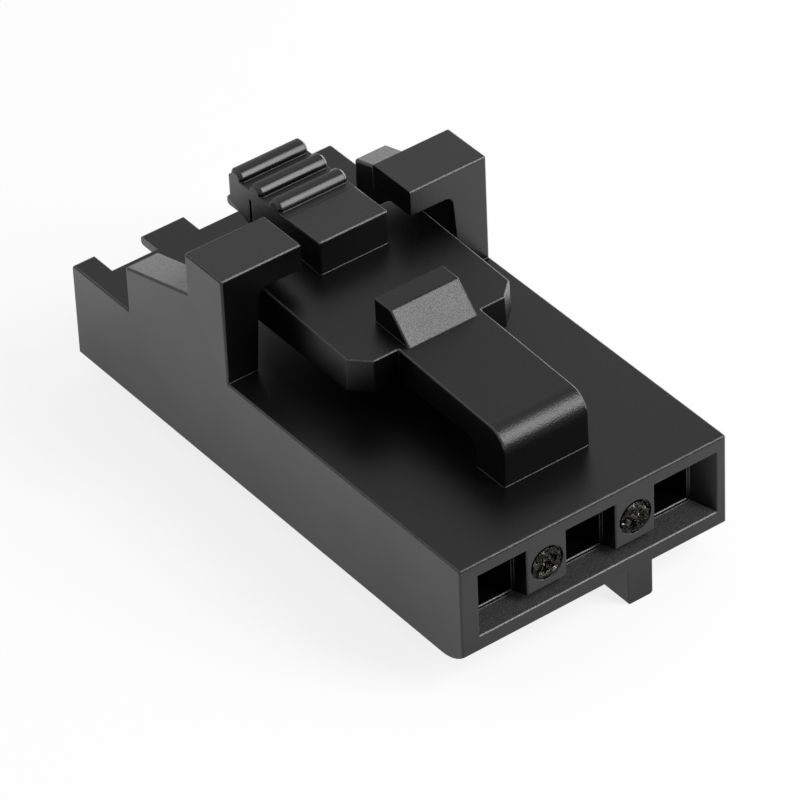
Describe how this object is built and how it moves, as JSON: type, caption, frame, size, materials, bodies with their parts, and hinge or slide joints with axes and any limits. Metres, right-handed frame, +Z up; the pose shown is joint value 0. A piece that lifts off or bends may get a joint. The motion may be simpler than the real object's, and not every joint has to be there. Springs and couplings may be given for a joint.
{
  "type": "crimp housing connector",
  "caption": "Black plastic crimp housing for a row of wire terminals, with a ridged top latch between two hooked guards and a locating tab.",
  "frame": {"origin": "under the middle of the part, at the level of the locating tab's foot", "axes": "+X along the row of circuits, +Y from the mating face to the wire end, +Z up through the latch"},
  "size_m": [0.0076, 0.0152, 0.0064],
  "materials": {
    "black_plastic": "satin black moulded plastic with a fine grain",
    "black_screw": "glossy blackened steel"
  },
  "bodies": {
    "root": {"housing": "black_plastic", "left_screw": "black_screw", "right_screw": "black_screw"}
  },
  "joints": []
}
